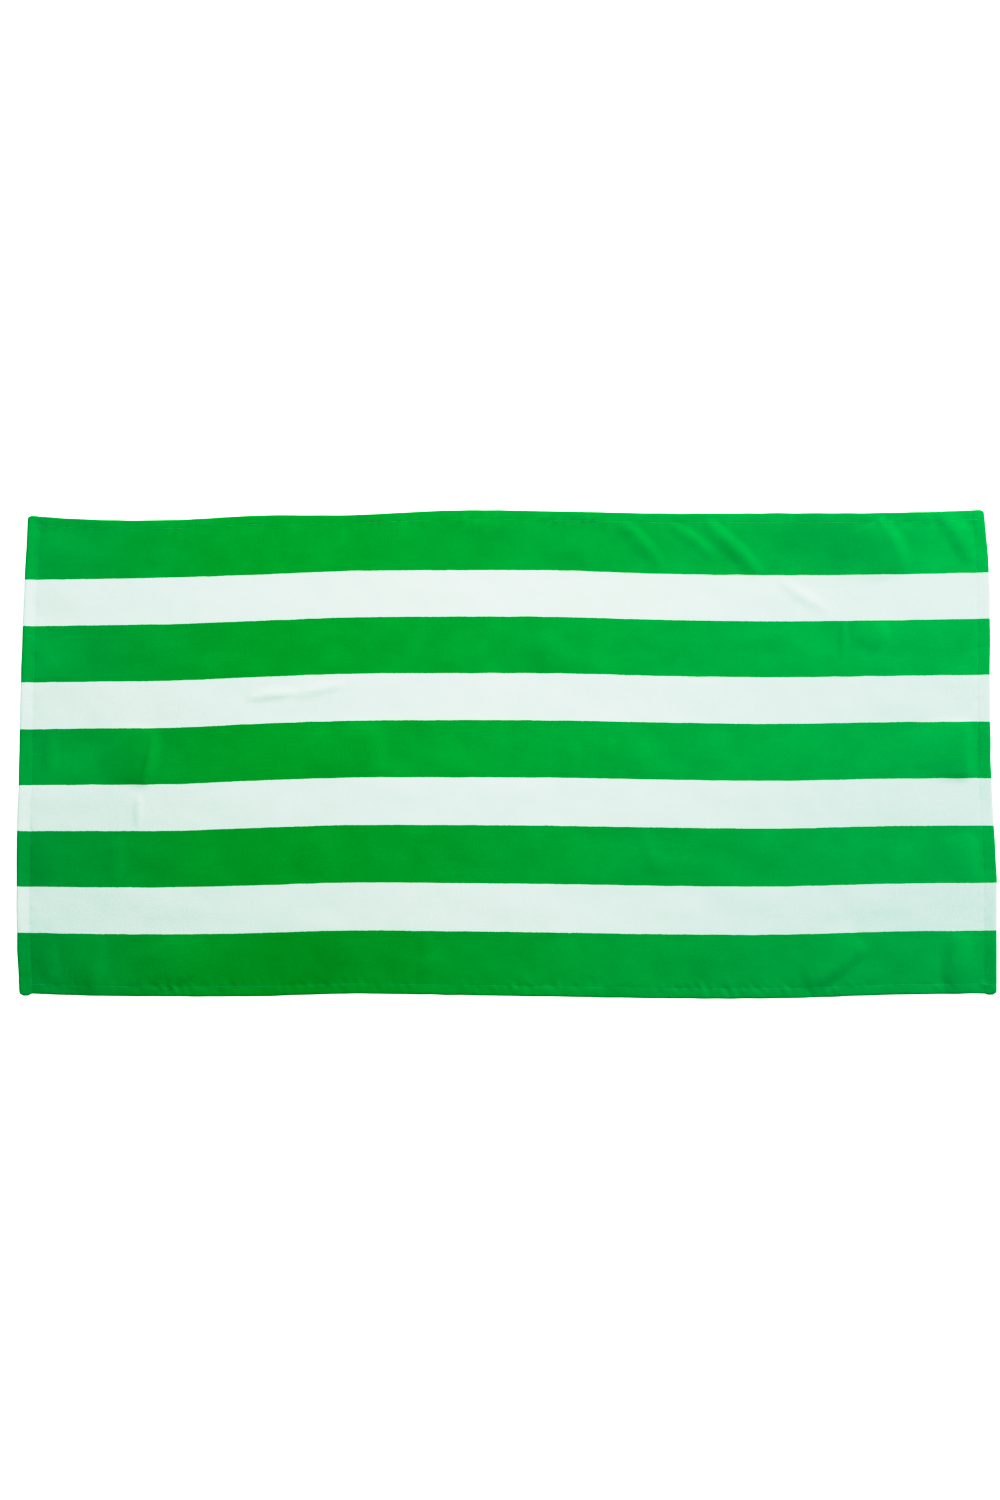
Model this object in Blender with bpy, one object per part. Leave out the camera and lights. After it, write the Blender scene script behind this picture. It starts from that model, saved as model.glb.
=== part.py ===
"""A striped beach towel, lying open and face up.

It is one cut length of cotton towelling, woven in wide green and white stripes that run along it. The two
sides and the two ends are turned under and sewn, and the seams pull a shallow groove. Lengths are in metres:
+X runs along the towel, +Y across it and +Z up. The origin is under the towel's middle, on the surface that
it lies on.

The towel is laid out in its own flat coordinates first, u along it and v across it, where every stripe is
straight. Each point then goes to the place where it lies: a little astray in the plane, and lifted where the
cloth arches in a crease.
"""

import math

import bmesh
import bpy
import numpy as np
from mathutils.geometry import delaunay_2d_cdt

MM = 0.001

# The cloth as it lies: cut for a 30 by 60 inch towel, and drawn in a little by the hems.
LENGTH = 1.520
WHITE_STRIPE = 0.0737
GREEN_STRIPE = 0.0889
EDGE_STRIPE = 0.0967  # the green stripe along each side, hem included
STRIPE_WIDTHS = [EDGE_STRIPE] + 3 * [WHITE_STRIPE, GREEN_STRIPE] + [WHITE_STRIPE, EDGE_STRIPE]
WIDTH = sum(STRIPE_WIDTHS)
CORNER_RADIUS = 0.006

# Thickness of the cloth with its pile, the widths of the hems, and what the turned layers of the side hems
# add at the fold.
CLOTH = 2.7 * MM
SIDE_HEM = 0.015
SIDE_HEM_EXTRA = (0.3 * MM, 0.1 * MM)  # at the lower and the upper side
END_HEM = 0.020
SEAM_DEPTH = 0.4 * MM
SEAM_HALF_WIDTH = 2.8 * MM

# The folded edge is round: (share of RIM in from the edge, share of the thickness up), from under to top.
RIM = 1.6 * MM
RIM_PROFILE = ((1.0, 0.0), (0.3, 0.14), (0.0, 0.5), (0.3, 0.86), (1.0, 1.0))
CORNER_STEPS = 3

# Spacing of the mesh: stations along the towel, steps along a crease, and the lines that run beside its
# crest, as shares of the arch's reach. Points closer than the last value become one.
STATION_STEP = 0.040
CREASE_STEP = 0.014
CREASE_PROFILE = (-1.0, -0.6, -0.3, 0.0, 0.3, 0.6, 1.0)
MERGE_WITHIN = 0.5 * MM

# How far the long lines stray from straight where the towel lies, in mm towards +Y.
#    u       lower side  middle  upper stripe line  upper side
SWAY = (
    (-0.760, 3.5, -9.5, -9.0, -3.0),
    (-0.640, 0.0, -8.0, -7.5, -9.5),
    (-0.520, -1.0, -7.0, -5.0, -9.0),
    (-0.400, -1.0, -1.0, -1.0, -2.5),
    (-0.250, 3.0, 4.0, 5.0, -1.5),
    (-0.080, 1.0, 5.0, 6.5, 6.0),
    (0.080, -1.5, 4.5, 6.0, 4.5),
    (0.250, -4.0, 1.5, 0.5, 1.0),
    (0.420, -4.0, -0.5, -1.5, 1.5),
    (0.600, 1.5, 2.5, -0.5, 2.0),
    (0.760, 3.5, 3.0, 3.0, 6.5),
)

# How far the two ends reach past half the length, in mm, at stations across the towel.
#    v       -X end  +X end
END_REACH = (
    (-0.377, -8.5, -4.5),
    (-0.330, -4.5, -3.0),
    (-0.280, -2.0, -1.5),
    (-0.200, 0.5, 0.5),
    (-0.110, 2.0, -2.0),
    (-0.030, 1.5, -4.0),
    (0.080, 2.0, -3.0),
    (0.200, 1.0, 0.0),
    (0.280, -0.5, 0.5),
    (0.377, -3.0, -5.0),
)

# What the turned layers of the end hems add at the fold, in mm, at stations across the towel.
#    v       -X end  +X end
END_FOLDS = (
    (-0.377, 1.6, 1.6),
    (-0.330, 1.6, 1.8),
    (-0.245, 2.6, 1.4),
    (-0.165, 2.4, 0.8),
    (-0.080, 1.8, 0.8),
    (0.000, 0.6, 1.8),
    (0.080, 1.4, 0.8),
    (0.165, 1.6, 0.5),
    (0.245, 2.2, 0.4),
    (0.330, 2.4, 0.1),
    (0.377, 2.4, 0.1),
)

# How far the end of an end hem stands out past the side at each corner, in mm.
#    end of u  side of v  out
EARS = (
    (-1, -1, 3.2),
    (1, -1, 1.8),
    (-1, 1, 0.8),
    (1, 1, 0.6),
)
EAR_RISE = 8 * MM  # along the towel
EAR_REACH = 0.030  # from the side inwards

# Creases where the cloth arches up. Each row walks along a crest from one end to the other, mostly from the
# upper side down, with +X on its left. It gives the crest's height, how far the arch runs out to its right
# and to its left, and how far the crest bows to its left: these four in mm.
#    from           to            height  right  left  bow
CREASES = (
    # the run of slanting creases in the upper stripe, from its middle to the +X end
    (0.178, 0.364, 0.246, 0.292, 1.7, 24, 16, 3),
    (0.254, 0.362, 0.328, 0.306, 1.4, 18, 13, 4),
    (0.312, 0.366, 0.402, 0.281, 2.6, 22, 19, 1),
    (0.426, 0.276, 0.507, 0.224, 1.6, 16, 14, -3),
    (0.586, 0.366, 0.624, 0.286, 4.4, 120, 28, 3),
    (0.688, 0.374, 0.732, 0.296, 2.5, 22, 30, 4),
    # short upright ones in the second green stripe
    (0.529, 0.211, 0.527, 0.143, 1.0, 11, 10, 1),
    (0.586, 0.206, 0.579, 0.158, 1.8, 48, 22, 3),
    (0.047, 0.180, 0.098, 0.127, 1.7, 50, 36, 2),
    # the upright crease near the -X end, and what is left of it below
    (-0.553, 0.044, -0.571, -0.048, 4.4, 90, 26, 1),
    (-0.553, 0.040, -0.571, -0.048, 5.2, 12, 24, 1),
    (-0.571, -0.060, -0.573, -0.112, 0.9, 11, 10, 0),
    (-0.605, -0.126, -0.613, -0.200, 1.2, 26, 22, 2),
    (-0.634, -0.284, -0.652, -0.374, 2.3, 90, 26, 2),
    # a soft one slanting down from the side hem, and a long low one in the second white stripe
    (-0.517, 0.355, -0.561, 0.300, 1.3, 34, 18, 2),
    (-0.408, 0.083, -0.320, 0.089, 2.5, 9, 14, 3),
    (-0.330, 0.085, -0.252, 0.102, 2.0, 12, 13, 2),
    # along the lower side
    (-0.532, -0.288, -0.500, -0.356, 3.4, 80, 60, 2),
    (-0.125, -0.285, -0.127, -0.362, 1.0, 20, 26, 1),
    (0.466, -0.364, 0.556, -0.302, 4.0, 24, 62, 3),
    # soft waves across the middle, where the towel was once folded
    (-0.223, 0.046, -0.215, -0.042, 2.2, 120, 36, 2),
    (0.096, 0.042, 0.098, -0.040, 0.8, 26, 26, 2),
    (0.194, 0.040, 0.192, -0.042, 1.7, 100, 55, 0),
    (-0.302, -0.125, -0.298, -0.195, 1.2, 40, 40, 1),
    (0.205, -0.120, 0.238, -0.190, 0.6, 20, 20, -3),
    # low swells of the cloth beside the two end hems
    (0.717, 0.050, 0.717, -0.048, 4.8, 100, 22, 0),
    (0.717, -0.130, 0.717, -0.202, 2.0, 60, 22, 0),
    (0.698, -0.282, 0.695, -0.382, 4.6, 28, 46, 0),
    (-0.712, 0.045, -0.714, -0.030, 0.9, 16, 18, 0),
    (-0.716, -0.130, -0.716, -0.202, 0.6, 26, 35, 0),
    (-0.711, -0.286, -0.711, -0.364, 1.4, 28, 45, 0),
)

# How an arch runs out at the ends of its crease: the power of its sine, and the share of its width left.
RUN_OUT_POWER = 0.7
END_WIDTH = 0.6

# Colours of the yarn, as linear RGB.
GREEN = (0.002, 0.400, 0.055, 1.0)
WHITE = (0.780, 0.860, 0.820, 1.0)


def clear_scene():
    for obj in list(bpy.data.objects):
        bpy.data.objects.remove(obj, do_unlink=True)


def material(name, colour):
    made = bpy.data.materials.new(name)
    made.use_nodes = True
    made.diffuse_color = colour
    shader = made.node_tree.nodes["Principled BSDF"]
    shader.inputs["Base Color"].default_value = colour
    shader.inputs["Roughness"].default_value = 0.95
    shader.inputs["Metallic"].default_value = 0.0
    return made


def smooth_curve(stations, values, x):
    """The smooth curve through (station, value), each point's slope being that of the line past it, at x."""
    stations = np.asarray(stations)
    values = np.asarray(values)
    slopes = np.gradient(values, stations)
    i = np.clip(np.searchsorted(stations, x) - 1, 0, len(stations) - 2)
    span = stations[i + 1] - stations[i]
    t = np.clip((x - stations[i]) / span, 0.0, 1.0)
    rise = (2 * t**3 - 3 * t**2 + 1) * values[i] + (3 * t**2 - 2 * t**3) * values[i + 1]
    return rise + span * ((t**3 - 2 * t**2 + t) * slopes[i] + (t**3 - t**2) * slopes[i + 1])


def stripe_lines():
    """The v of both sides and of each change of colour between them."""
    return -WIDTH / 2 + np.cumsum([0.0] + STRIPE_WIDTHS)


def sway(u, v):
    """How far towards +Y the point (u, v) lies from where it would be on a straight towel."""
    levels = (-WIDTH / 2, 0.0, WIDTH / 2 - EDGE_STRIPE, WIDTH / 2)
    columns = np.array(SWAY)
    at_u = [smooth_curve(columns[:, 0], column, u) for column in columns[:, 1:].T]
    return MM * float(np.interp(v, levels, at_u))


def reach(u, v):
    """How far along X the point (u, v) lies from where it would be on a straight towel."""
    columns = np.array(END_REACH)
    side, end = (-1, columns[:, 1]) if u < 0 else (1, columns[:, 2])
    towards_end = (2 * u / LENGTH) ** 2
    return side * MM * towards_end * smooth_curve(columns[:, 0], end, v)


def ears(u, v):
    """How far towards +Y an end hem's end carries the point (u, v) near a corner."""
    rise = min(max((abs(u) - LENGTH / 2 + END_HEM) / EAR_RISE, 0.0), 1.0)
    by_side = max(1 - (WIDTH / 2 - abs(v)) / EAR_REACH, 0.0)
    out = sum(side * out for end, side, out in EARS if u * end > 0 and v * side > 0)
    return MM * out * rise * by_side


def arch(u, v, crease):
    """The lift that one crease gives the cloth at (u, v): an arch, lower and narrower towards both ends."""
    u0, v0, u1, v1, height, right, left, bow = crease
    length = math.hypot(u1 - u0, v1 - v0)
    along = ((u - u0) * (u1 - u0) + (v - v0) * (v1 - v0)) / length**2
    if not 0.0 < along < 1.0:
        return 0.0
    run_out = math.sin(math.pi * along) ** RUN_OUT_POWER
    aside = ((v - v0) * (u1 - u0) - (u - u0) * (v1 - v0)) / length - MM * bow * 4 * along * (1 - along)
    widest = MM * (right if aside < 0 else left) * (END_WIDTH + (1 - END_WIDTH) * run_out)
    if abs(aside) >= widest:
        return 0.0
    return MM * height * run_out * (1 + math.cos(math.pi * aside / widest)) / 2


def lift(u, v):
    """The height of the cloth's underside over the surface: nothing but for the creases."""
    return max(arch(u, v, crease) for crease in CREASES)


def thickness(u, v):
    """The cloth's thickness: more in each hem, up to its fold, and less in the groove of its seam."""
    bulk, groove = 0.0, 0.0
    columns = np.array(END_FOLDS)
    side = SIDE_HEM_EXTRA[int(v > 0)]
    end = MM * smooth_curve(columns[:, 0], columns[:, 1 + int(u > 0)], v)
    for inward, hem, extra in ((WIDTH / 2 - abs(v), SIDE_HEM, side), (LENGTH / 2 - abs(u), END_HEM, end)):
        bulk = max(bulk, extra * (1.0 - inward / hem))
        groove = max(groove, 1.0 - abs(inward - hem) / SEAM_HALF_WIDTH)
    return CLOTH + bulk - groove * SEAM_DEPTH


def seam_lines(half_size, hem):
    """Each seam's line and the two edges of its groove, at both sides of the towel."""
    lines = [half_size - hem + side * SEAM_HALF_WIDTH for side in (-1, 0, 1)]
    return [-line for line in lines] + lines


def u_lines():
    inner = LENGTH / 2 - END_HEM - SEAM_HALF_WIDTH
    count = round(2 * inner / STATION_STEP)
    stations = np.linspace(-inner, inner, count + 1)[1:-1]
    ear = LENGTH / 2 - END_HEM + EAR_RISE
    return sorted(list(stations) + seam_lines(LENGTH / 2, END_HEM) + [-ear, ear])


def v_lines():
    lines = stripe_lines()
    middles = (lines[:-1] + lines[1:]) / 2
    return sorted(list(lines[1:-1]) + list(middles) + seam_lines(WIDTH / 2, SIDE_HEM))


def outline(inset):
    """The towel's outline, inset by so much, as (u, v) points that run anticlockwise."""
    radius = CORNER_RADIUS - inset
    middle_u = LENGTH / 2 - CORNER_RADIUS
    middle_v = WIDTH / 2 - CORNER_RADIUS
    along = [u for u in u_lines() if abs(u) < middle_u]
    across = [v for v in v_lines() if abs(v) < middle_v]
    sides = (
        [(u, -WIDTH / 2 + inset) for u in along],
        [(LENGTH / 2 - inset, v) for v in across],
        [(u, WIDTH / 2 - inset) for u in reversed(along)],
        [(-LENGTH / 2 + inset, v) for v in reversed(across)],
    )
    corners = ((1, -1, -90), (1, 1, 0), (-1, 1, 90), (-1, -1, 180))
    points = []
    for side, (to_u, to_v, start) in zip(sides, corners):
        points += side
        for step in range(CORNER_STEPS + 1):
            angle = math.radians(start + 90 * step / CORNER_STEPS)
            point_u = to_u * middle_u + radius * math.cos(angle)
            point_v = to_v * middle_v + radius * math.sin(angle)
            points.append((point_u, point_v))
    return points


def beside(crease, along, share):
    """The (u, v) at a share of the way along a crest, and a share of the arch's reach to its left."""
    u0, v0, u1, v1, _, right, left, bow = crease
    length = math.hypot(u1 - u0, v1 - v0)
    aside = MM * (share * (right if share < 0 else left) + bow * 4 * along * (1 - along))
    point_u = u0 + (u1 - u0) * along - (v1 - v0) / length * aside
    point_v = v0 + (v1 - v0) * along + (u1 - u0) / length * aside
    return point_u, point_v


def is_inside(u, v):
    """Whether (u, v) lies on the flat part of the towel, clear of its rim."""
    return abs(u) < LENGTH / 2 - 2 * RIM and abs(v) < WIDTH / 2 - 2 * RIM


def crease_points(crease):
    """Rows of points along a crease: its crest, and lines beside it out to the edges of the arch."""
    length = math.hypot(crease[2] - crease[0], crease[3] - crease[1])
    steps = np.linspace(0.0, 1.0, round(length / CREASE_STEP) + 1)
    points = [beside(crease, along, share) for along in steps for share in CREASE_PROFILE]
    return [point for point in points if is_inside(*point)]


def crossings(v, crease):
    """The u of each place where the line of this v crosses the lines that run along a crease."""
    found = []
    for share in CREASE_PROFILE:
        (_, start), (_, end) = beside(crease, 0.0, share), beside(crease, 1.0, share)
        along = (v - start) / (end - start)
        if 0.0 < along < 1.0:
            found.append(beside(crease, along, share)[0])
    return [u for u in found if is_inside(u, v)]


def cut_sheet(rim):
    """Triangles over the flat towel inside the outline rim, with an edge along each stripe line and seam.

    It returns the (u, v) points, the triangles, and the place in those points of each point of rim.
    """
    points = list(rim)
    edges = [(i, (i + 1) % len(rim)) for i in range(len(rim))]

    def add_chain(line):
        """Edges from point to point along a line across the towel, from one point of the rim to another."""
        first = len(points)
        points.extend(line)
        edges.extend((i, i + 1) for i in range(first, first + len(line) - 1))

    half_u, half_v = LENGTH / 2 - RIM, WIDTH / 2 - RIM
    straight_rows = list(stripe_lines()[1:-1]) + seam_lines(WIDTH / 2, SIDE_HEM)
    for v in v_lines():
        stations = {*u_lines(), *(u for crease in CREASES for u in crossings(v, crease))}
        row = [(u, v) for u in sorted({-half_u, half_u} | stations)]
        if v in straight_rows:
            add_chain(row)
        else:
            points += row
    for u in seam_lines(LENGTH / 2, END_HEM):
        add_chain([(u, v) for v in [-half_v, *v_lines(), half_v]])

    for crease in CREASES:
        points += crease_points(crease)
    inside_only = 1
    found, _, triangles, sources, _, _ = delaunay_2d_cdt(points, edges, [], inside_only, MERGE_WITHIN)
    place = {source: i for i, group in enumerate(sources) for source in group}
    return [tuple(p) for p in found], triangles, [place[i] for i in range(len(rim))]


def stripe_colour(v):
    """0 in a green stripe and 1 in a white one."""
    return (int(np.searchsorted(stripe_lines(), v)) + 1) % 2


def build_towel():
    shape = bmesh.new()

    def add_point(u, v, share):
        height = lift(u, v) + share * thickness(u, v)
        return shape.verts.new((u + reach(u, v), v + sway(u, v) + ears(u, v), height))

    def add_face(corners, v):
        face = shape.faces.new(corners)
        face.material_index = stripe_colour(v)

    flat, triangles, rim = cut_sheet(outline(RIM))
    upper = [add_point(u, v, 1.0) for u, v in flat]
    under = [add_point(u, v, 0.0) for u, v in flat]
    for triangle in triangles:
        middle_v = sum(flat[i][1] for i in triangle) / 3
        add_face([upper[i] for i in triangle], middle_v)
        add_face([under[i] for i in reversed(triangle)], middle_v)

    loops = [[under[i] for i in rim]]
    for inset_share, height_share in RIM_PROFILE[1:-1]:
        loops.append([add_point(u, v, height_share) for u, v in outline(inset_share * RIM)])
    loops.append([upper[i] for i in rim])
    around = len(rim)
    for lower, higher in zip(loops[:-1], loops[1:]):
        for i in range(around):
            after = (i + 1) % around
            middle_v = (flat[rim[i]][1] + flat[rim[after]][1]) / 2
            add_face([lower[i], lower[after], higher[after], higher[i]], middle_v)

    stand_on_origin(shape)
    mesh = bpy.data.meshes.new("towel")
    shape.to_mesh(mesh)
    shape.free()
    mesh.materials.append(material("green yarn", GREEN))
    mesh.materials.append(material("white yarn", WHITE))
    mesh.shade_smooth()
    mesh.set_sharp_from_angle(angle=math.radians(50))
    towel = bpy.data.objects.new("towel", mesh)
    bpy.context.scene.collection.objects.link(towel)
    return towel


def stand_on_origin(shape):
    """Moves the mesh so that the middle of its box is over the origin, and its lowest point at z = 0."""
    points = np.array([vert.co[:] for vert in shape.verts])
    low, high = points.min(axis=0), points.max(axis=0)
    shift = (-(low[0] + high[0]) / 2, -(low[1] + high[1]) / 2, -low[2])
    bmesh.ops.translate(shape, vec=shift, verts=shape.verts)


clear_scene()
build_towel()
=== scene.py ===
"""The looks of a striped beach towel that lies open and face up on a pale floor.

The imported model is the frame. Its one solid is replaced by a sheet with a sheared pile face, a looped
reverse, sewn hems and the creases of the cloth, and the stitches that hold the hems are added. Lengths are in
metres: +X runs along the towel, +Y across it and +Z up.

The sheet is worked out in the towel's own flat coordinates first, u along it and v across it, where every
stripe is straight. Each point then goes to the place where it lies: a little astray in the plane, and lifted
where the cloth arches.
"""

import math

import bpy
import numpy as np
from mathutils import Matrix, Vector


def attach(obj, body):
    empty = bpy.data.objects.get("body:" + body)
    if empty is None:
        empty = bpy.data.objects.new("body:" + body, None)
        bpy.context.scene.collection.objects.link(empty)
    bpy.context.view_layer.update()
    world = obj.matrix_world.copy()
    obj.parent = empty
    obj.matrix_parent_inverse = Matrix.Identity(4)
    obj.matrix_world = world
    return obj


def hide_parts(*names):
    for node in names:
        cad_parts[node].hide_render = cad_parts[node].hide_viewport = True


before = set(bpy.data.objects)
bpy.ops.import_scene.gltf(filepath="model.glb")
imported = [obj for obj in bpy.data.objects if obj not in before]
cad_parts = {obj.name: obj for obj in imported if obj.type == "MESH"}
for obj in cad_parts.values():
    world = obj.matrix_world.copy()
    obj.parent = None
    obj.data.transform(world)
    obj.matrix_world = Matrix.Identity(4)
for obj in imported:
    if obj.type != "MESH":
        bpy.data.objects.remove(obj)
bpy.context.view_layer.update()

MM = 0.001

# The cloth as it lies. It was cut as a 30 by 60 inch towel, and its hems draw it in a little.
LENGTH = 1.520
WHITE_STRIPE = 0.0737
GREEN_STRIPE = 0.0889
EDGE_STRIPE = 0.0967  # the green stripe along each side, hem included
WIDTH = 4 * WHITE_STRIPE + 3 * GREEN_STRIPE + 2 * EDGE_STRIPE
CORNER_RADIUS = 0.006

# Thickness of the cloth with its pile and the widths of the hems. The turned layers of a side hem lift the
# cloth by a step at the seam, and from there to the fold by more or less: at the lower and the upper side.
CLOTH = 2.7 * MM
SIDE_HEM = 0.015
SIDE_STEP = (0.0, 0.2 * MM)
SIDE_FOLD = (0.25 * MM, -0.2 * MM)
END_HEM = 0.020
RIM = 1.9 * MM  # how far the rounded rim stands out past the flat of the cloth
RIM_STEPS = 6
ROLL_DEPTH = 0.25 * MM  # how far the face rolls down towards the rim, and over what width
ROLL_REACH = 7 * MM

# A seam's groove on the face, the softer dip of the cloth on its inner side, and the puckers that the thread
# draws in it. On the reverse there is a groove too, and a step where the turned layer ends.
SEAM_DEPTH = 0.10 * MM
SEAM_HALF_WIDTH = 2.8 * MM
SIDE_DIP = (0.12 * MM, 0.0)  # at the lower and the upper side
SHOULDER_REACH = 8 * MM
PUCKER_DEPTH = 0.28 * MM
PUCKER_SIZE = 14 * MM
PUCKER_REACH = 0.7 * PUCKER_SIZE
PUCKER_SLANT = 0.4
END_PULL = 0.8  # how hard the seams of the two ends pucker the cloth, as a share of the usual
REVERSE_GROOVE = 0.6 * MM
TURNED_STEP = 0.5 * MM
TURNED_PAST_SEAM = 2.5 * MM

# How far the long lines stray from straight where the towel lies, in mm towards +Y.
#    u       lower side  middle  upper stripe line  upper side
SWAY = (
    (-0.760, 3.5, -9.5, -9.0, -3.0),
    (-0.640, 0.0, -8.0, -7.5, -9.5),
    (-0.520, -1.0, -7.0, -5.0, -9.0),
    (-0.400, -1.0, -1.0, -1.0, -2.5),
    (-0.250, 3.0, 4.0, 5.0, -1.5),
    (-0.080, 1.0, 5.0, 6.5, 6.0),
    (0.080, -1.5, 4.5, 6.0, 4.5),
    (0.250, -4.0, 1.5, 0.5, 1.0),
    (0.420, -4.0, -0.5, -1.5, 1.5),
    (0.600, 1.5, 2.5, -0.5, 2.0),
    (0.760, 3.5, 3.0, 3.0, 6.5),
)

# How far the two ends reach past half the length, in mm, at stations across the towel.
#    v       -X end  +X end
END_REACH = (
    (-0.377, -8.5, -4.5),
    (-0.330, -4.5, -3.0),
    (-0.280, -2.0, -1.5),
    (-0.200, 0.5, 0.5),
    (-0.110, 2.0, -2.0),
    (-0.030, 1.5, -4.0),
    (0.080, 2.0, -3.0),
    (0.200, 1.0, 0.0),
    (0.280, -0.5, 0.5),
    (0.377, -3.0, -5.0),
)

# What the turned layers of the end hems add at the fold, in mm, at stations across the towel.
#    v       -X end  +X end
END_FOLDS = (
    (-0.377, 1.6, 1.6),
    (-0.330, 1.6, 1.8),
    (-0.245, 2.6, 1.4),
    (-0.165, 2.4, 0.8),
    (-0.080, 1.8, 0.8),
    (0.000, 0.6, 1.8),
    (0.080, 1.4, 0.8),
    (0.165, 1.6, 0.5),
    (0.245, 2.2, 0.4),
    (0.330, 2.4, 0.1),
    (0.377, 2.4, 0.1),
)

# How far the cloth dips just inside the seams of the end hems, in mm, at stations across the towel.
#    v       -X end  +X end
END_DIPS = (
    (-0.377, 0.40, 0.40),
    (-0.330, 0.40, 0.40),
    (-0.245, 0.20, 0.10),
    (-0.165, 0.25, 0.35),
    (-0.080, 0.15, 0.25),
    (0.000, 0.30, 0.45),
    (0.080, 0.15, 0.25),
    (0.165, 0.10, 0.25),
    (0.245, 0.10, 0.20),
    (0.330, 0.10, 0.40),
    (0.377, 0.10, 0.40),
)

# How far the end of an end hem stands out past the side at each corner, in mm.
#    end of u  side of v  out
EARS = (
    (-1, -1, 3.2),
    (1, -1, 1.8),
    (-1, 1, 0.8),
    (1, 1, 0.6),
)
EAR_RISE = 8 * MM  # along the towel
EAR_REACH = 0.030  # from the side inwards

# Creases where the cloth arches up. Each row walks along a crest from one end to the other, mostly from the
# upper side down, with +X on its left. It gives the crest's height, how far the arch runs out to its right
# and to its left, and how far the crest bows to its left: these four in mm.
#    from           to            height  right  left  bow
CREASES = (
    # the run of slanting creases in the upper stripe, from its middle to the +X end
    (0.178, 0.364, 0.246, 0.292, 1.7, 24, 16, 3),
    (0.254, 0.362, 0.328, 0.306, 1.4, 18, 13, 4),
    (0.312, 0.366, 0.402, 0.281, 2.6, 22, 19, 1),
    (0.426, 0.276, 0.507, 0.224, 1.6, 16, 14, -3),
    (0.586, 0.366, 0.624, 0.286, 4.4, 120, 28, 3),
    (0.688, 0.374, 0.732, 0.296, 2.5, 22, 30, 4),
    # short upright ones in the second green stripe
    (0.529, 0.211, 0.527, 0.143, 1.0, 11, 10, 1),
    (0.586, 0.206, 0.579, 0.158, 1.8, 48, 22, 3),
    (0.047, 0.180, 0.098, 0.127, 1.7, 50, 36, 2),
    # the upright crease near the -X end, and what is left of it below
    (-0.553, 0.044, -0.571, -0.048, 4.4, 90, 26, 1),
    (-0.553, 0.040, -0.571, -0.048, 5.2, 12, 24, 1),
    (-0.571, -0.060, -0.573, -0.112, 0.9, 11, 10, 0),
    (-0.605, -0.126, -0.613, -0.200, 1.2, 26, 22, 2),
    (-0.634, -0.284, -0.652, -0.374, 2.3, 90, 26, 2),
    # a soft one slanting down from the side hem, and a long low one in the second white stripe
    (-0.517, 0.355, -0.561, 0.300, 1.3, 34, 18, 2),
    (-0.408, 0.083, -0.320, 0.089, 2.5, 9, 14, 3),
    (-0.330, 0.085, -0.252, 0.102, 2.0, 12, 13, 2),
    # along the lower side
    (-0.532, -0.288, -0.500, -0.356, 3.4, 80, 60, 2),
    (-0.125, -0.285, -0.127, -0.362, 1.0, 20, 26, 1),
    (0.466, -0.364, 0.556, -0.302, 4.0, 24, 62, 3),
    # soft waves across the middle, where the towel was once folded
    (-0.223, 0.046, -0.215, -0.042, 2.2, 120, 36, 2),
    (0.096, 0.042, 0.098, -0.040, 0.8, 26, 26, 2),
    (0.194, 0.040, 0.192, -0.042, 1.7, 100, 55, 0),
    (-0.302, -0.125, -0.298, -0.195, 1.2, 40, 40, 1),
    (0.205, -0.120, 0.238, -0.190, 0.6, 20, 20, -3),
    # low swells of the cloth beside the two end hems
    (0.717, 0.050, 0.717, -0.048, 4.8, 100, 22, 0),
    (0.717, -0.130, 0.717, -0.202, 2.0, 60, 22, 0),
    (0.698, -0.282, 0.695, -0.382, 4.6, 28, 46, 0),
    (-0.712, 0.045, -0.714, -0.030, 0.9, 16, 18, 0),
    (-0.716, -0.130, -0.716, -0.202, 0.6, 26, 35, 0),
    (-0.711, -0.286, -0.711, -0.364, 1.4, 28, 45, 0),
)

# How an arch runs out at the ends of its crease: the power of its sine, and the share of its width left.
RUN_OUT_POWER = 0.7
END_WIDTH = 0.6

# How hard the seams of the two sides pull the cloth down and pucker it, as shares of the usual.
#    u       lower side  upper side
SEAM_PULL = (
    (-0.760, 0.8, 0.6),
    (-0.600, 0.6, 0.8),
    (-0.530, 1.4, 1.0),
    (-0.420, 0.9, 0.6),
    (-0.300, 1.7, 0.8),
    (-0.180, 0.9, 0.6),
    (-0.050, 0.8, 1.6),
    (0.020, 1.5, 1.1),
    (0.090, 1.3, 1.7),
    (0.150, 0.8, 1.4),
    (0.220, 0.7, 0.8),
    (0.310, 1.8, 0.9),
    (0.370, 2.0, 0.8),
    (0.450, 1.6, 0.7),
    (0.520, 1.1, 0.9),
    (0.620, 0.8, 1.6),
    (0.720, 1.1, 0.8),
    (0.760, 0.8, 0.7),
)

# The unevenness of cloth that lies loose: (length along, length across, height) of each set of waves.
WAVES = (
    (0.120, 0.085, 0.22 * MM),
    (0.050, 0.040, 0.09 * MM),
    (0.022, 0.020, 0.04 * MM),
)
WAVES_START = 0.030  # from an edge inwards, over which the waves grow to their full height
WAVE_COUNT = 16
WAVE_LENGTHS = (0.7, 1.6)  # the shortest and the longest single wave, as shares of their set's length
EDGE_WAVER = 0.2 * MM  # how far the outline and the stripes waver in the plane
EDGE_WAVER_LENGTH = 0.045

# The seeds of all the random waves. Each further set of WAVES has the next seed after the first one's.
WAVES_SEED = 11
SIDE_PUCKER_SEED, END_PUCKER_SEED = 21, 22
WAVER_X_SEED, WAVER_Y_SEED = 31, 32

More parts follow.
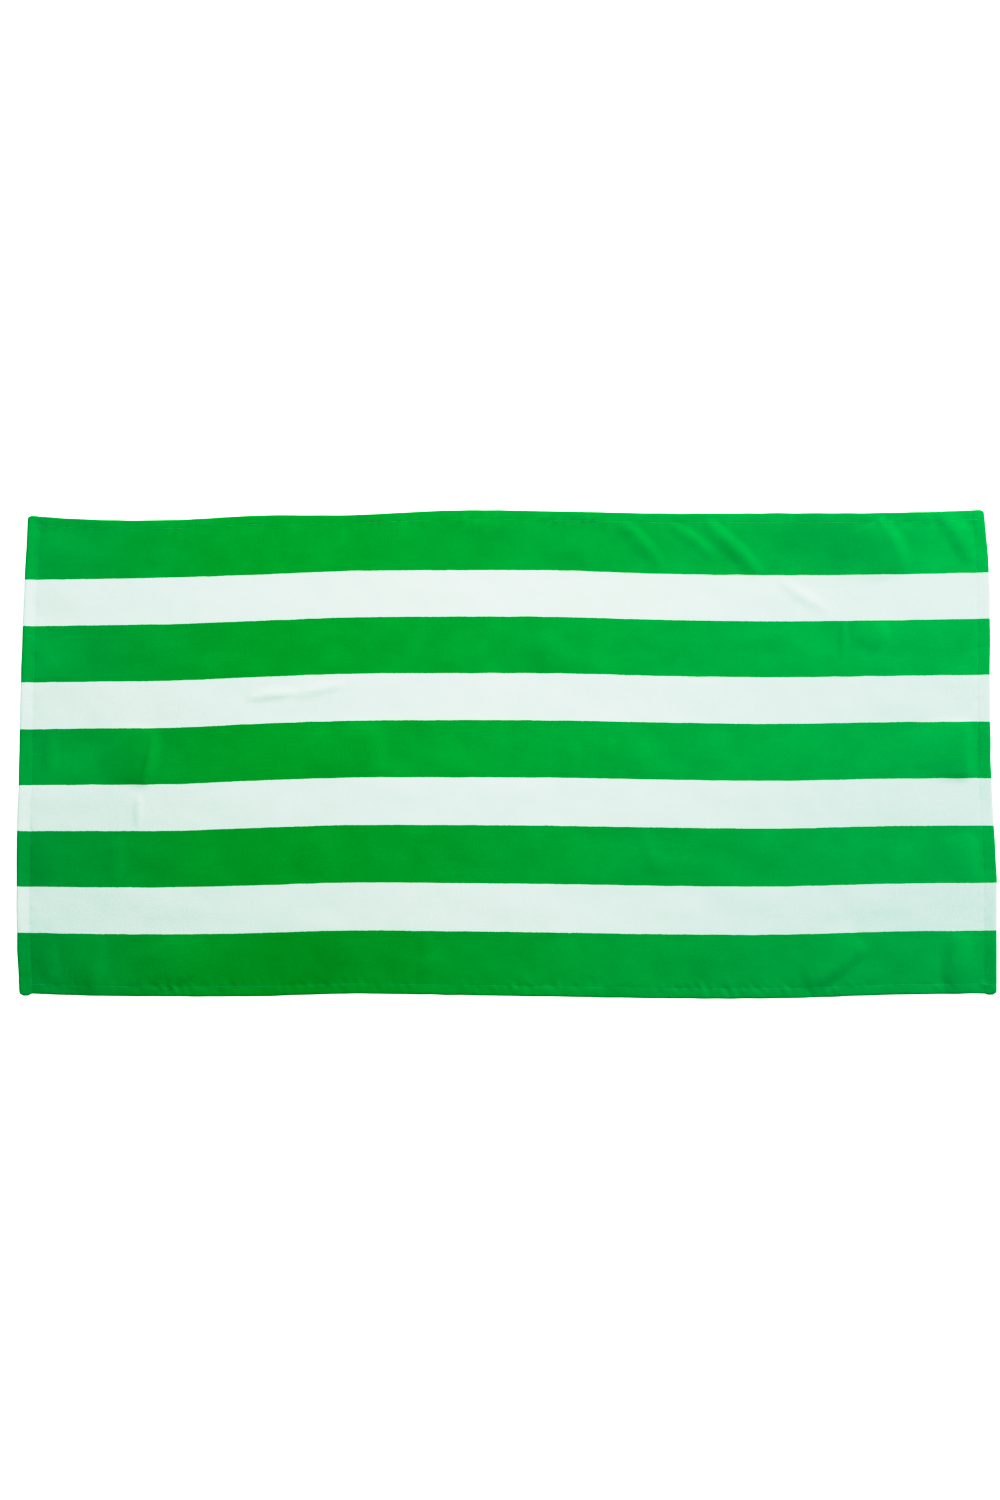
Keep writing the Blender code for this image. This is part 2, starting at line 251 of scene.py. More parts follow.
# Spacing of the sheet's mesh, which is closest in a band along each edge and seam.
EDGE_STEP = 1.7 * MM
EDGE_BAND = 6 * MM  # past the seam
HEM_STEP = 3.0 * MM
HEM_BAND = 14 * MM  # past the edge band
FINE_STEP = 2.6 * MM  # along the towel, on creases and hems; plain cloth takes every other or fourth point
ROW_STEP = 5.0 * MM
FINE_PAST_END = 0.1  # how far past a crease the fine points go on, as shares of its length and of its reach
FINE_PAST_SIDE = 0.2
BAKE_MARGIN = 10 * MM  # around the cloth on the map that an export bakes to

# Stitches: one line along each seam, on both sides, of white thread that is half sunk in the pile.
STITCH_PITCH = 3.1 * MM
STITCH_LENGTH = 2.0 * MM
STITCH_RADIUS = 0.18 * MM
STITCH_SIDES = 6
# the profile of a stitch: share of its half length, share of its radius, rise as a share of its radius
STITCH_STATIONS = ((-1.0, 0.45, -1.6), (-0.5, 1.0, -0.3), (0.5, 1.0, -0.3), (1.0, 0.45, -1.6))

# Colours of the yarn, as linear RGB, and the painted light along the towel: a painted sheen turns the green
# ones bluer from where it starts towards both ends, and painted shade darkens the white ones towards the +X
# end. Each is full at its last place.
GREEN_DEEP = (0.003, 0.360, 0.048, 1.0)
GREEN_LIGHT = (0.006, 0.440, 0.063, 1.0)
GREEN_PAINTED_SHEEN = (1.0, 1.01, 1.70, 1.0)
GREEN_SHEEN_START = -0.36
GREEN_SHEEN_FULL = (-0.95, 0.74)
WHITE_DULL = (0.680, 0.870, 0.770, 1.0)
WHITE_CLEAR = (0.735, 0.935, 0.830, 1.0)
WHITE_PAINTED_SHADE = (0.81, 0.83, 0.83, 1.0)
WHITE_SHADE_SPAN = (-0.10, 0.74)
# The thread is white, dulled to these colours partly by the green lint of the pile and partly by painted
# shade of its seam.
THREAD_DEEP = (0.300, 0.430, 0.350, 1.0)
THREAD_LIGHT = (0.620, 0.740, 0.670, 1.0)
FLOOR = (0.90, 0.90, 0.90, 1.0)
WHITE = (1.0, 1.0, 1.0, 1.0)  # of lights

# How matt each surface is, and how much its fibres catch light that grazes them: roughness, sheen.
PILE_FINISH = (0.95, 0.10)
THREAD_FINISH = (0.7, 0.05)
FLOOR_FINISH = (0.9, 0.0)
SPECULAR = 0.1
SHEEN_ROUGHNESS = 0.5
SHEEN_TINT = (0.75, 1.0, 0.85, 1.0)
NOISE_ROUGHNESS = 0.55

# The edge between two stripes: how far single tufts stand across it, how wide they are, how soft it is.
STRIPE_TUFTS = 1.6 * MM
STRIPE_TUFT_SIZE = 2.5 * MM
STRIPE_SOFTNESS = 0.35 * MM

# The noise in the lightness of the face: width, length for its width, detail, share.
FACE_PATCHES = (45 * MM, 1.4, 3.0, 0.4)
FACE_STREAKS = (6 * MM, 6.0, 2.0, 0.1)
FACE_TUFTS = (1.1 * MM, 1.0, 2.0, 0.5)
FACE_RANGE = (0.25, 0.85)  # of the noise, from the deep colour to the light one
FACE_RELIEF = 0.5 * MM

# The loops of the reverse, which stray from their rows.
LOOP_SIZE = 2.2 * MM
LOOP_STRAY = 1.2 * MM
LOOP_STRAY_SIZE = 4 * MM  # the width of the patches that stray together
LOOP_RANDOMNESS = 0.75
LOOP_RANGE = (0.75, 0.05)  # where a loop starts and where it is full, as shares of its size from its middle
# Painted shade: the gaps between the loops are darkened to this share of their colour.
LOOP_SHADE = 0.62  # what the gaps between the loops keep of their colour
LOOP_SHADE_TOP = 0.6  # how far up a loop this shade reaches
LOOP_SHARE = 0.55  # of the lightness
LOOP_RELIEF = 0.9 * MM
LOOP_FIBRES = (0.5 * MM, 0.15 * MM)  # size and relief
REVERSE_PATCHES = (40 * MM, 1.0, 3.0, 0.5)  # as in the noise of the face

# The sewing thread's plies: the scale of their pattern, its distortion and its relief. Then the size of the
# spots where the thread is worn.
PLIES = 0.35 / MM
PLY_DISTORTION = 0.5
PLY_RELIEF = 0.06 * MM
WEAR_SIZE = 9 * MM

# Soft patches where the face is made lighter or darker: the middle of each, how far it reaches along the
# towel and across it, and how much it changes the colour.
#    u       v       along  across  change
TONE_PATCHES = (
    (0.520, 0.332, 0.190, 0.080, -0.13),
    (0.100, 0.332, 0.700, 0.080, -0.045),
    (-0.730, 0.330, 0.090, 0.070, 0.05),
    (-0.730, 0.163, 0.100, 0.070, 0.11),
    (0.000, 0.000, 0.950, 0.085, 0.05),
    (-0.720, -0.010, 0.160, 0.080, 0.12),
    (0.100, -0.163, 0.150, 0.070, 0.04),
    (0.130, -0.330, 0.180, 0.075, 0.045),
    (-0.300, -0.335, 0.220, 0.085, -0.10),
)

# Soft square lights that shine on the towel's middle: name, place, size and power. The rest is even light.
LIGHTS = (
    ("key_light", (3.5, 3.2, 3.4), 1.2, 285.0),
    ("top_light", (0.0, 2.2, 2.6), 1.5, 46.0),
)
EVEN_LIGHT = 0.12
FLOOR_HALF = 6.0
FLOOR_DROP = 0.1 * MM  # under the towel, so that the two never share a plane
FLOOR_GLOW = 0.9  # keeps the floor as pale as the photograph's ground
BACKDROP = 1.6  # how pale it is past the floor's edge, which lights nothing

# The photograph's contrast: what each level of light becomes.
#    light  tone
TONES = (
    (0.000, 0.000),
    (0.012, 0.000),
    (0.070, 0.042),
    (0.260, 0.245),
    (0.400, 0.455),
    (0.600, 0.790),
    (0.800, 0.905),
    (1.000, 0.950),
)

# The frame of the photograph, in pixels, and the pixel where the towel's middle lies.
PHOTO_SIZE = (1000, 1500)
LOOK_PIXEL = (507, 753)
LOOK_POINT = Vector((0.0009, -0.0027, 0.0))
LEAN = math.radians(4.5)  # from straight above, towards -Y
DISTANCE = 2.4
FOCAL_PIXELS = 1535.4
SENSOR = 36.0  # mm along the photograph's long side


# ----------------------------------------------------------------------------------------- how the cloth lies


def smooth_curve(stations, values, x):
    """The smooth curve through (station, value), each point's slope being that of the line past it, at x."""
    slopes = np.gradient(values, stations)
    i = np.clip(np.searchsorted(stations, x) - 1, 0, len(stations) - 2)
    span = stations[i + 1] - stations[i]
    t = np.clip((x - stations[i]) / span, 0.0, 1.0)
    rise = (2 * t**3 - 3 * t**2 + 1) * values[i] + (3 * t**2 - 2 * t**3) * values[i + 1]
    return rise + span * ((t**3 - 2 * t**2 + t) * slopes[i] + (t**3 - t**2) * slopes[i + 1])


def smooth_step(x):
    x = np.clip(x, 0.0, 1.0)
    return x * x * (3 - 2 * x)


def waves(x, y, seed):
    """Smooth random waves, mostly between -1 and 1, whose crests are about one unit of x or y apart."""
    draw = np.random.default_rng(seed)
    height = np.zeros(np.shape(x))
    for _ in range(WAVE_COUNT):
        turn, phase = draw.uniform(0, 2 * math.pi, 2)
        rate = 2 * math.pi / draw.uniform(*WAVE_LENGTHS)
        height += np.cos(rate * (x * math.cos(turn) + y * math.sin(turn)) + phase)
    return height / math.sqrt(WAVE_COUNT)


def sway(u, v):
    """How far towards +Y the point (u, v) lies from where it would be on a straight towel."""
    stations, *columns = np.transpose(SWAY)
    levels = np.array((-WIDTH / 2, 0.0, WIDTH / 2 - EDGE_STRIPE, WIDTH / 2))
    shares = [np.interp(v, levels, level) for level in np.eye(len(levels))]
    return MM * sum(share * smooth_curve(stations, column, u) for share, column in zip(shares, columns))


def ears(u, v):
    """How far towards +Y an end hem's end carries the point (u, v) near a corner."""
    in_hem = smooth_step((np.abs(u) - LENGTH / 2 + END_HEM) / EAR_RISE)
    by_side = np.clip(1 - (WIDTH / 2 - np.abs(v)) / EAR_REACH, 0.0, 1.0)
    out = sum(side * out * (u * end > 0) * (v * side > 0) for end, side, out in EARS)
    return MM * out * in_hem * by_side


def reach(u, v):
    """How far along X the point (u, v) lies from where it would be on a straight towel."""
    stations, left, right = np.transpose(END_REACH)
    outwards = np.where(u < 0, -smooth_curve(stations, left, v), smooth_curve(stations, right, v))
    return MM * (2 * u / LENGTH) ** 2 * outwards


def laid(u, v):
    """Where (u, v) lies on the floor, before the whole towel is centred on the origin."""
    waver_x = EDGE_WAVER * waves(u / (4 * EDGE_WAVER_LENGTH), v / EDGE_WAVER_LENGTH, WAVER_X_SEED)
    waver_y = EDGE_WAVER * waves(u / EDGE_WAVER_LENGTH, v / (4 * EDGE_WAVER_LENGTH), WAVER_Y_SEED)
    return u + reach(u, v) + waver_x, v + sway(u, v) + ears(u, v) + waver_y


def place_on(crease, u, v):
    """(share of the way along the crest, share of the arch's reach, positive on the left) of each (u, v)."""
    u0, v0, u1, v1, _, right, left, bow = crease
    along_u, along_v = u1 - u0, v1 - v0
    length = math.hypot(along_u, along_v)
    along = ((u - u0) * along_u + (v - v0) * along_v) / length**2
    aside = ((v - v0) * along_u - (u - u0) * along_v) / length - MM * bow * 4 * along * (1 - along)
    return along, aside / (MM * np.where(aside < 0, right, left))


def arch(crease, u, v):
    """The lift that one crease gives the cloth: an arch, lower and narrower towards both ends."""
    along, across = place_on(crease, u, v)
    run_out = np.sin(math.pi * np.clip(along, 0.0, 1.0)) ** RUN_OUT_POWER
    across = np.clip(np.abs(across) / (END_WIDTH + (1 - END_WIDTH) * run_out), 0.0, 1.0)
    return MM * crease[4] * run_out * (1 + np.cos(math.pi * across)) / 2


def on_crease(u, v):
    """Whether each (u, v) lies on an arch or just beside one."""
    places = [place_on(crease, u, v) for crease in CREASES]
    return np.any([
        (np.abs(along - 0.5) < 0.5 + FINE_PAST_END) & (np.abs(across) < 1 + FINE_PAST_SIDE)
        for along, across in places
    ], axis=0)


def seam_pull(u, v):
    """How hard the side seam on this side of the towel pulls, as a share of the usual."""
    stations, lower, upper = np.transpose(SEAM_PULL)
    return np.where(v < 0, smooth_curve(stations, lower, u), smooth_curve(stations, upper, u))


def by_end(table, u, v):
    """A table's value, in metres, at v for the end of the towel that u is nearer to."""
    stations, left, right = np.transpose(table)
    return MM * np.where(u < 0, smooth_curve(stations, left, v), smooth_curve(stations, right, v))


def groove(inside):
    """A groove of depth 1 along a seam, at a distance inside it."""
    return np.exp(-2 * (inside / SEAM_HALF_WIDTH) ** 2)


def face_dip(inside, depth):
    """How far the face dips at a distance inside a seam: its groove, and the softer dip inside it."""
    shoulder = np.exp(-np.maximum(inside, 0.0) / SHOULDER_REACH) * smooth_step(1 + inside / SEAM_HALF_WIDTH)
    return SEAM_DEPTH * groove(inside) + depth * shoulder


def reverse_rise(inside):
    """How far the reverse is off the floor at a distance inside a seam, past the end of the turned layer."""
    past = inside - TURNED_PAST_SEAM
    step = smooth_step(past / EDGE_STEP) * np.exp(-np.maximum(past, 0.0) / SHOULDER_REACH)
    return REVERSE_GROOVE * groove(inside) + TURNED_STEP * step


def puckers(along, inside, pull, seed):
    """The short slanting ripples that a seam draws into the cloth beside it."""
    ripple = waves((along + PUCKER_SLANT * inside) / PUCKER_SIZE, inside / (2 * PUCKER_SIZE), seed)
    return PUCKER_DEPTH * pull * ripple * np.exp(-np.abs(inside) / PUCKER_REACH)


def heights(u, v):
    """The heights of the reverse and of the face over the floor at (u, v)."""
    from_side, from_end = WIDTH / 2 - np.abs(v), LENGTH / 2 - np.abs(u)
    in_side, in_end = from_side - SIDE_HEM, from_end - END_HEM
    lift = np.max([arch(crease, u, v) for crease in CREASES], axis=0)
    swell = smooth_step(np.minimum(from_side, from_end) / WAVES_START) * sum(
        height * waves(u / along, v / across, WAVES_SEED + i)
        for i, (along, across, height) in enumerate(WAVES)
    )
    pull = seam_pull(u, v)
    side_bulk = np.where(v < 0, *SIDE_STEP) * smooth_step(0.5 - in_side / (2 * SEAM_HALF_WIDTH))
    side_bulk += np.where(v < 0, *SIDE_FOLD) * pull * smooth_step(-in_side / SIDE_HEM)
    end_bulk = by_end(END_FOLDS, u, v) * smooth_step(-in_end / END_HEM)
    bulk = side_bulk + np.maximum(end_bulk - np.maximum(side_bulk, 0.0), 0.0)
    roll = ROLL_DEPTH * (1 - np.clip(np.minimum(from_side, from_end) / ROLL_REACH, 0.0, 1.0)) ** 2
    dip = roll + np.maximum(
        face_dip(in_side, np.where(v < 0, *SIDE_DIP) * pull), face_dip(in_end, by_end(END_DIPS, u, v))
    )
    ripple = puckers(u, in_side, pull, SIDE_PUCKER_SEED) + puckers(v, in_end, END_PULL, END_PUCKER_SEED)
    reverse = lift + np.maximum(swell, 0.0)
    face = reverse + CLOTH + bulk - dip + ripple + np.minimum(swell, 0.0)
    return reverse + np.maximum(reverse_rise(in_side), reverse_rise(in_end)), face


def surface_point(u, v, share):
    """Where the point at a share of the thickness over (u, v) lies, before the towel is settled."""
    reverse, face = heights(u, v)
    x, y = laid(u, v)
    return np.stack([x, y, reverse + share * (face - reverse)], axis=-1)


# ------------------------------------------------------------------------------------------- the sheet's mesh

# Half the size of the grid, which ends where the rim begins, and the radius of its corners.
HALF_U = LENGTH / 2 - RIM
HALF_V = WIDTH / 2 - RIM
INNER_RADIUS = CORNER_RADIUS - RIM
EVERYWHERE, ON_FACE, WHERE_FINE = 0, 1, 2  # the levels of the grid's lines


def grid_lines(half, hem, inner_step, inner_levels):
    """The places of the grid's lines in one direction, and the level of each.

    The lines of the border go everywhere. Those inside it take their levels from inner_levels in turn.
    """
    edge = np.arange(0.0, hem + EDGE_BAND - RIM, EDGE_STEP)
    band = np.arange(edge[-1], edge[-1] + HEM_BAND, HEM_STEP)
    border = np.concatenate([edge, band[1:]])
    inside = 2 * (half - border[-1])
    turns = round(inside / inner_step / len(inner_levels))
    inner = np.linspace(-inside / 2, inside / 2, turns * len(inner_levels) + 1)[1:-1]
    places = np.concatenate([border - half, inner, half - border[::-1]])
    border_levels = [EVERYWHERE] * len(border)
    return places, np.array(border_levels + (inner_levels * turns)[1:] + border_levels)


def rounded(u, v):
    """u drawn in towards the middle near the four corners, so that the grid has round ones."""
    past = np.maximum(np.abs(v) - (HALF_V - INNER_RADIUS), 0.0)
    end = HALF_U - INNER_RADIUS + np.sqrt(np.maximum(INNER_RADIUS**2 - past**2, 0.0))
    start = HALF_U - 2 * CORNER_RADIUS
    drawn_in = start + (np.abs(u) - start) * (end - start) / (HALF_U - start)
    return np.where(np.abs(u) > start, np.sign(u) * drawn_in, u)


def outwards(u, v):
    """The direction in the plane that points straight out of the grid's edge at (u, v)."""
    out_u = np.maximum(np.abs(u) - (HALF_U - INNER_RADIUS), 0.0)
    out_v = np.maximum(np.abs(v) - (HALF_V - INNER_RADIUS), 0.0)
    size = np.maximum(np.hypot(out_u, out_v), 1e-9)
    return np.sign(u) * out_u / size, np.sign(v) * out_v / size


def bridged(near, far):
    """Faces between two rows of (key, vertex) that begin and end at the same keys."""
    faces, i, j = [], 0, 0
    while i < len(near) - 1 or j < len(far) - 1:
        near_key = near[i + 1][0] if i < len(near) - 1 else math.inf
        far_key = far[j + 1][0] if j < len(far) - 1 else math.inf
        if near_key == far_key:
            faces.append((near[i][1], near[i + 1][1], far[j + 1][1], far[j][1]))
            i, j = i + 1, j + 1
        elif near_key < far_key:
            faces.append((near[i][1], near[i + 1][1], far[j][1]))
            i += 1
        else:
            faces.append((near[i][1], far[j + 1][1], far[j][1]))
            j += 1
    return faces


class Sheet:
    """The towel's mesh while it is made.

    Each vertex has its place on the flat cloth, its share of the cloth's thickness, and how much longer the
    way to it over the rim is than straight out. Each face is on the upper or on the lower side.
    """

    def __init__(self):
        self.flat, self.share, self.detour, self.faces, self.is_upper = [], [], [], [], []

    def add_points(self, u, v, share, detour=0.0):
        first = len(self.flat)
        self.flat += list(zip(u, v))
        self.share += [share] * len(u)
        self.detour += [detour] * len(u)
        return list(range(first, len(self.flat)))

    def add_faces(self, faces, is_upper):
        self.faces += faces
        self.is_upper += [is_upper] * len(faces)

    def add_side(self, is_upper):
        """One side of the towel. Returns its outline, anticlockwise from above, as (key, vertex)."""
        fine_levels = [EVERYWHERE, WHERE_FINE, ON_FACE, WHERE_FINE]
        u_lines, u_levels = grid_lines(HALF_U, END_HEM, FINE_STEP, fine_levels)
        v_lines, v_levels = grid_lines(HALF_V, SIDE_HEM, ROW_STEP, [EVERYWHERE, ON_FACE])
        rows = []
        for i, v in enumerate(v_lines):
            if not is_upper and v_levels[i] != EVERYWHERE:
                continue
            v = np.full(len(u_lines), v)
            creased = on_crease(u_lines, v)
            by_seam = HALF_V - np.abs(v) < SIDE_HEM + EDGE_BAND + HEM_BAND / 2
            wanted = (u_levels == EVERYWHERE) | (u_levels == ON_FACE) & (creased | is_upper)
            wanted |= is_upper & (creased | by_seam)
            keys = np.flatnonzero(wanted)
            vertices = self.add_points(rounded(u_lines, v)[keys], v[keys], 1.0 if is_upper else 0.0)
            rows.append((i, list(zip(keys.tolist(), vertices))))
        for (_, near), (_, far) in zip(rows, rows[1:]):
            faces = bridged(near, far)
            self.add_faces(faces if is_upper else [face[::-1] for face in faces], is_upper)

        across, up = len(u_lines) - 1, len(v_lines) - 1
        outline = rows[0][1][:]
        outline += [(across + i, row[-1][1]) for i, row in rows[1:]]
        outline += [(2 * across + up - key, vertex) for key, vertex in rows[-1][1][-2::-1]]
        outline += [(2 * across + 2 * up - i, row[0][1]) for i, row in rows[-2::-1]]
        return outline

    def add_rim(self, upper, lower):
        """The rounded rim that joins the outlines of the two sides."""
        places = np.array([self.flat[vertex] for _, vertex in upper[:-1]])
        out_u, out_v = outwards(places[:, 0], places[:, 1])
        ring = upper
        for step in range(1, RIM_STEPS):
            angle = math.pi * (0.5 - step / RIM_STEPS)
            out = RIM * math.cos(angle)
            way = RIM * (math.pi / 2 - abs(angle))
            u, v = places[:, 0] + out * out_u, places[:, 1] + out * out_v
            vertices = self.add_points(u, v, (1 + math.sin(angle)) / 2, way - out)
            next_ring = [(key, vertex) for (key, _), vertex in zip(upper, vertices + vertices[:1])]
            self.add_faces(bridged(next_ring, ring), 2 * step <= RIM_STEPS)
            ring = next_ring
        self.add_faces(bridged(lower, ring), False)


def new_object(name, points, faces):
    mesh = bpy.data.meshes.new(name)
    mesh.from_pydata(points.tolist(), [], faces)
    mesh.shade_smooth()
    made = bpy.data.objects.new(name, mesh)
    bpy.context.scene.collection.objects.link(made)
    return made


def add_maps(mesh, flat, is_upper):
    """Adds the two maps of the sheet.

    "Cloth" is the place on the flat cloth in metres, which the materials read. The other one is what an
    export bakes to, with the upper side above the lower one and half of the rim with each.
    """
    corners = np.empty(len(mesh.loops), np.int32)
    mesh.loops.foreach_get("vertex_index", corners)
    corner_counts = np.empty(len(mesh.polygons), np.int32)
    mesh.polygons.foreach_get("loop_total", corner_counts)
    upper = np.repeat(is_upper, corner_counts)
    u, v = flat[corners].T
    scale = 0.5 / (LENGTH / 2 + BAKE_MARGIN)
    bake = 0.5 + scale * u, np.where(upper, 0.75 + scale * v, 0.25 - scale * v)
    for name, uv in (("Cloth", (u, v)), ("OFBake", bake)):
        mesh.uv_layers.new(name=name).data.foreach_set("uv", np.stack(uv, axis=-1).ravel())


def make_towel(face_material, reverse_material):
    """Returns the towel's sheet, and how far it was moved to stand centred on the origin."""
    sheet = Sheet()
    upper, lower = sheet.add_side(True), sheet.add_side(False)
    sheet.add_rim(upper, lower)
    flat, is_upper = np.array(sheet.flat), np.array(sheet.is_upper)
    points = surface_point(*flat.T, np.array(sheet.share))
    low, high = points.min(axis=0), points.max(axis=0)
    move = -np.array(((low[0] + high[0]) / 2, (low[1] + high[1]) / 2, low[2]))
    towel = new_object("towel_cloth", points + move, sheet.faces)

    out_u, out_v = outwards(*flat.T)
    flat += np.array(sheet.detour)[:, None] * np.stack([out_u, out_v], axis=-1)
    add_maps(towel.data, flat, is_upper)

    towel.data.materials.append(face_material)
    towel.data.materials.append(reverse_material)
    middles = np.array([np.abs(flat[list(face)].mean(axis=0)) for face in sheet.faces])
    turned_under = (middles[:, 0] > LENGTH / 2 - END_HEM) | (middles[:, 1] > WIDTH / 2 - SIDE_HEM)
    slots = np.where(is_upper | turned_under, 0, 1).astype(np.int32)
    towel.data.polygons.foreach_set("material_index", slots)
    return towel, move


# ----------------------------------------------------------------------------------------------- the stitches


def seam_middles():
    """The flat places of all the stitches' middles, and the direction of each."""
    side, end = WIDTH / 2 - SIDE_HEM, LENGTH / 2 - END_HEM
    places, directions = [], []
    for half, offset, along in ((LENGTH / 2, side, 0), (WIDTH / 2, end, 1)):
        count = int((2 * half - 2 * CORNER_RADIUS) / STITCH_PITCH)
        for sign in (-1, 1):
            line = np.empty((count, 2))
            line[:, along] = (np.arange(count) - (count - 1) / 2) * STITCH_PITCH
            line[:, 1 - along] = sign * offset
            places.append(line)
            directions.append(np.tile(np.eye(2)[along], (count, 1)))
    return np.concatenate(places), np.concatenate(directions)


def make_stitches(name, share, move, material):
    """The stitches on one side of the towel, each a short thread that dives into the cloth at both ends."""
    middles, directions = seam_middles()
    up = 1.0 if share > 0.5 else -1.0
    rings = []
    for along, thick, rise in STITCH_STATIONS:
        flat = middles + directions * along * STITCH_LENGTH / 2
        centre = surface_point(*flat.T, share) + move
        centre[:, 2] += up * rise * STITCH_RADIUS
        for side in range(STITCH_SIDES):
            angle = 2 * math.pi * side / STITCH_SIDES
            aside = thick * STITCH_RADIUS * math.cos(angle)
            above = thick * STITCH_RADIUS * math.sin(angle)
            rings.append(centre + np.stack([
                -directions[:, 1] * aside, directions[:, 0] * aside, np.full(len(middles), above),
            ], axis=-1))
    points = np.stack(rings, axis=1)  # stitch, point of the stitch, coordinate

    one = []  # the faces of one stitch
    for station in range(len(STITCH_STATIONS) - 1):
        for side in range(STITCH_SIDES):
            a, b = station * STITCH_SIDES + side, station * STITCH_SIDES + (side + 1) % STITCH_SIDES
            one.append((a, b, b + STITCH_SIDES, a + STITCH_SIDES))
    one.append(tuple(range(STITCH_SIDES))[::-1])
    last = (len(STITCH_STATIONS) - 1) * STITCH_SIDES
    one.append(tuple(range(last, last + STITCH_SIDES)))
    count, each = points.shape[:2]
    faces = [tuple(i * each + corner for corner in face) for i in range(count) for face in one]
    stitches = new_object(name, points.reshape(-1, 3), faces)
    stitches.data.materials.append(material)
    return stitches


# ---------------------------------------------------------------------------------------------- the materials


class Shader:
    """A new material, with short ways to add the nodes used here. Each returns the new node's output."""

    def __init__(self, name, finish):
        roughness, sheen = finish
        self.material = bpy.data.materials.new(name)
        self.material.use_nodes = True
        self.tree = self.material.node_tree
        self.surface = self.tree.nodes["Principled BSDF"]
        self.surface.inputs["Roughness"].default_value = roughness
        self.surface.inputs["Specular IOR Level"].default_value = SPECULAR
        self.surface.inputs["Sheen Weight"].default_value = sheen
        self.surface.inputs["Sheen Roughness"].default_value = SHEEN_ROUGHNESS
        self.surface.inputs["Sheen Tint"].default_value = SHEEN_TINT

    def add(self, kind, inputs, output=0, **settings):
        node = self.tree.nodes.new("ShaderNode" + kind)
        for name, value in settings.items():
            setattr(node, name, value)
        for socket, value in inputs.items():
            if isinstance(value, bpy.types.NodeSocket):
                self.tree.links.new(value, node.inputs[socket])
            else:
                node.inputs[socket].default_value = value
        return node.outputs[output]

    def math(self, operation, *values):
        return self.add("Math", dict(enumerate(values)), operation=operation)

    def mix(self, share, low, high, blend="MIX"):
        inputs = {"Factor": share, 6: low, 7: high}  # the sockets A and B for colours
        return self.add("Mix", inputs, output=2, data_type="RGBA", blend_type=blend)

    def noise(self, place, size, along=1.0, detail=2.0):
        """Noise whose spots are about size metres wide, and along times as long as wide."""
        scaled = self.add("VectorMath", {0: place, 1: (1 / along, 1.0, 1.0)}, operation="MULTIPLY")
        inputs = {"Vector": scaled, "Scale": 1 / size, "Detail": detail, "Roughness": NOISE_ROUGHNESS}
        return self.add("TexNoise", inputs, noise_dimensions="2D")

    def spread(self, value, low, high, to_low=0.0, to_high=1.0):
        """The value taken from the range low to high into the range to_low to to_high."""
        inputs = {"Value": value, "From Min": low, "From Max": high, "To Min": to_low, "To Max": to_high}
        return self.add("MapRange", inputs, interpolation_type="SMOOTHSTEP")

    def bump(self, height, distance, normal=None):
        inputs = {"Height": height, "Strength": 1.0, "Distance": distance}
        if normal is not None:
            inputs["Normal"] = normal
        return self.add("Bump", inputs)

    def finish(self, colour, normal):
        self.tree.links.new(colour, self.surface.inputs["Base Color"])
        self.tree.links.new(normal, self.surface.inputs["Normal"])
        return self.material


def stripe_share(shader, place):
    """1 on the white stripes and 0 on the green ones, with the slight unevenness of the pile between them.

    Folding the cloth at its middle, and again between its two white stripes, puts them on each other.
    """
    half = (GREEN_STRIPE + WHITE_STRIPE) / 2
    v = shader.add("SeparateXYZ", {0: place}, output=1)
    folded = shader.math("ABSOLUTE", shader.math("SUBTRACT", shader.math("ABSOLUTE", v), 2 * half))
    from_middle = shader.math("ABSOLUTE", shader.math("SUBTRACT", folded, half))
    tufts = shader.math("SUBTRACT", shader.noise(place, STRIPE_TUFT_SIZE), 0.5)
    uneven = shader.math("MULTIPLY", tufts, STRIPE_TUFTS)
    inside = shader.math("SUBTRACT", WHITE_STRIPE / 2, shader.math("ADD", from_middle, uneven))
    return shader.spread(inside, -STRIPE_SOFTNESS, STRIPE_SOFTNESS)


def yarn_colour(shader, place, lightness):
    """The striped colour of the cloth, each yarn between its deep and its light colour by lightness."""
    along = shader.add("SeparateXYZ", {0: place}, output=0)
    # Painted sheen: the green turns bluer towards both ends of the towel.
    sheen_shares = [shader.spread(along, GREEN_SHEEN_START, sheen_full_at) for sheen_full_at in GREEN_SHEEN_FULL]
    green = shader.mix(lightness, GREEN_DEEP, GREEN_LIGHT)
    green = shader.mix(shader.math("ADD", *sheen_shares), green, GREEN_PAINTED_SHEEN, blend="MULTIPLY")
    white = shader.mix(lightness, WHITE_DULL, WHITE_CLEAR)
    # Painted shade: the white darkens towards the +X end of the towel.
    white = shader.mix(shader.spread(along, *WHITE_SHADE_SPAN), white, WHITE_PAINTED_SHADE, blend="MULTIPLY")
    return shader.mix(stripe_share(shader, place), green, white)


def patch_tone(shader, place):
    """How much lighter or darker the face is made in soft patches, as a factor."""
    tone_factor = 1.0
    for u, v, along, across, change in TONE_PATCHES:
        away = shader.add("VectorMath", {0: place, 1: (u, v, 0.0)}, operation="SUBTRACT")
        away = shader.add("VectorMath", {0: away, 1: (1 / along, 1 / across, 0.0)}, operation="MULTIPLY")
        distance = shader.add("VectorMath", {0: away}, output=1, operation="LENGTH")
        tone_factor = shader.math("ADD", tone_factor, shader.spread(distance, 1.0, 0.0, 0.0, change))
    return tone_factor


